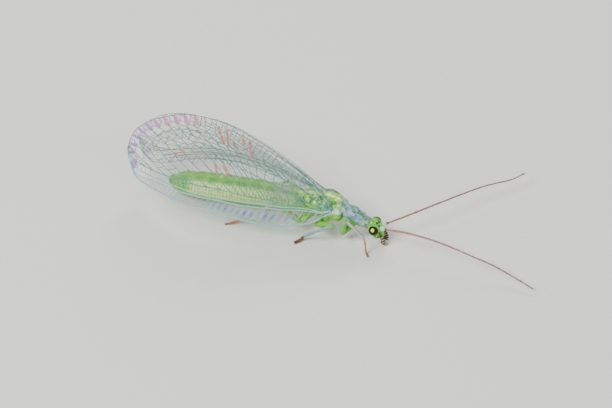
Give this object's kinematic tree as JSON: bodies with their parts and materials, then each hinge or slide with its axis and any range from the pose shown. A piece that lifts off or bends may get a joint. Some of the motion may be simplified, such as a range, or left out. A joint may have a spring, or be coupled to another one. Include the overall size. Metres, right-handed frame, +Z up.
{
  "type": "green lacewing, still life-size model",
  "caption": "Life-size green lacewing at rest, wings folded like a steep roof, feelers spread forward, standing on six legs.",
  "frame": {"origin": "centre of the bounding box's bottom, on the floor the feet stand on", "axes": "+X forward along the body to the feeler tips, +Y to the insect's left, +Z up"},
  "size_m": [0.029, 0.0126, 0.0072],
  "materials": {
    "green_body": "yellow-green waxy cuticle, mottled",
    "pale_pronotum": "pale bluish-grey to lilac cuticle",
    "abdomen_green": "green with a whitish-yellow side band",
    "eye": "dark, with a golden metallic shine",
    "mouthparts": "black with cream joints",
    "antenna": "reddish brown, ringed",
    "leg_green": "green, thinly haired",
    "leg_pale": "pale shin and orange-brown foot",
    "wing": "clear iridescent membrane with pale green veins"
  },
  "bodies": {
    "root": {"head": "green_body", "eye_right": "eye", "eye_left": "eye", "mouthparts": "mouthparts", "antenna_right": "antenna", "antenna_left": "antenna", "prothorax": "pale_pronotum", "mesothorax": "green_body", "metathorax": "green_body", "abdomen": "abdomen_green", "leg_fore_right_femur": "leg_green", "leg_fore_right_tibia": "leg_pale", "leg_mid_right_femur": "leg_green", "leg_mid_right_tibia": "leg_pale", "leg_hind_right_femur": "leg_green", "leg_hind_right_tibia": "leg_pale", "forewing_right": "wing", "hindwing_right": "wing", "leg_fore_left_femur": "leg_green", "leg_fore_left_tibia": "leg_pale", "leg_mid_left_femur": "leg_green", "leg_mid_left_tibia": "leg_pale", "leg_hind_left_femur": "leg_green", "leg_hind_left_tibia": "leg_pale", "forewing_left": "wing", "hindwing_left": "wing"}
  },
  "joints": []
}
